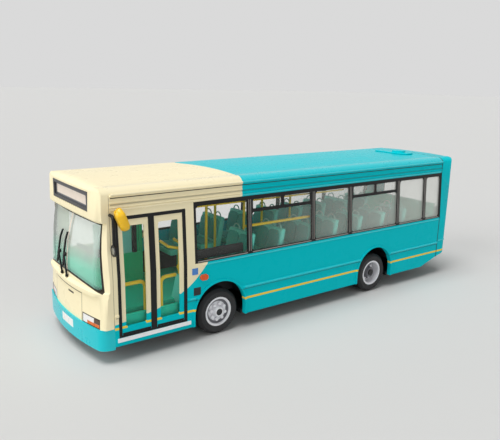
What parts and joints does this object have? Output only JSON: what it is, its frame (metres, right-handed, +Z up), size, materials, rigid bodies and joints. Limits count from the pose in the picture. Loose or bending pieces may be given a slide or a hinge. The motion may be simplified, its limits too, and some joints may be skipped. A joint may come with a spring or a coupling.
{
  "type": "scale model city bus",
  "caption": "Small die-cast scale model of a short single-deck city bus with glazed saloon, two-leaf door, mirrors and free-turning wheels.",
  "frame": {"origin": "centre of the model's box, on the ground under the tyres", "axes": "+X towards the front of the bus, +Y towards its door side, +Z up"},
  "size_m": [0.118, 0.0378, 0.0382],
  "materials": {
    "axle_steel": "drawn wire",
    "base_black": "satin",
    "black_trim": "satin",
    "body_paint": "gloss enamel",
    "cab_plastic": "moulded",
    "clear_lens": "clear lens",
    "clear_window": "clear moulded",
    "door_cream": "moulded",
    "front_paint": "gloss enamel",
    "mirror_yellow": "moulded",
    "orange_lens": "tinted",
    "red_lens": "tinted",
    "saloon_plastic": "moulded",
    "silver_wheel": "satin paint",
    "tyre_rubber": "matte",
    "white_step": "moulded",
    "yellow_rail": "moulded"
  },
  "bodies": {
    "bus_body": {"arch_boxes_left": "base_black", "arch_boxes_right": "base_black", "base_plate": "base_black", "body_shell": "body_paint", "cab_wall": "cab_plastic", "cab_window_glass": "clear_window", "dashboard": "cab_plastic", "destination_frame": "black_trim", "destination_glass": "clear_window", "door_frame": "black_trim", "door_glazing": "clear_window", "door_leaf_front": "door_cream", "door_leaf_rear": "door_cream", "door_step": "white_step", "driver_seat": "saloon_plastic", "engine_flap": "body_paint", "front_bumper": "body_paint", "front_indicators": "orange_lens", "front_moulding": "front_paint", "glazing_left": "clear_window", "glazing_right": "clear_window", "handrails": "yellow_rail", "headlamps": "clear_lens", "mirror_arm_left": "black_trim", "mirror_arm_right": "black_trim", "mirror_head_left": "mirror_yellow", "mirror_head_right": "mirror_yellow", "near_mirror_left": "black_trim", "near_mirror_right": "black_trim", "rear_bench": "saloon_plastic", "rear_lamps_left": "red_lens", "rear_lamps_right": "red_lens", "rear_moulding": "body_paint", "rear_window": "clear_window", "roof_pod": "body_paint", "saloon_floor": "saloon_plastic", "seats_left": "saloon_plastic", "seats_right": "saloon_plastic", "side_lamp_left": "orange_lens", "side_lamp_right": "orange_lens", "steering_wheel": "base_black", "window_frames_left": "black_trim", "window_frames_right": "black_trim", "windscreen": "clear_window", "windscreen_divider": "black_trim", "wipers": "black_trim"},
    "front_wheelset": {"front_axle": "axle_steel", "front_wheel_left": "silver_wheel", "front_wheel_right": "silver_wheel", "front_tyre_left": "tyre_rubber", "front_tyre_right": "tyre_rubber"},
    "rear_wheelset": {"rear_axle": "axle_steel", "rear_wheel_left": "silver_wheel", "rear_wheel_right": "silver_wheel", "rear_tyre_left": "tyre_rubber", "rear_tyre_right": "tyre_rubber"}
  },
  "joints": [
    {"name": "front_wheels_turn", "type": "hinge", "parent": "bus_body", "child": "front_wheelset", "pos_m": [0.028, 0, 0.0055], "axis": [0, 1, 0], "continuous": true},
    {"name": "rear_wheels_turn", "type": "hinge", "parent": "bus_body", "child": "rear_wheelset", "pos_m": [-0.0248, 0, 0.0055], "axis": [0, 1, 0], "continuous": true}
  ]
}
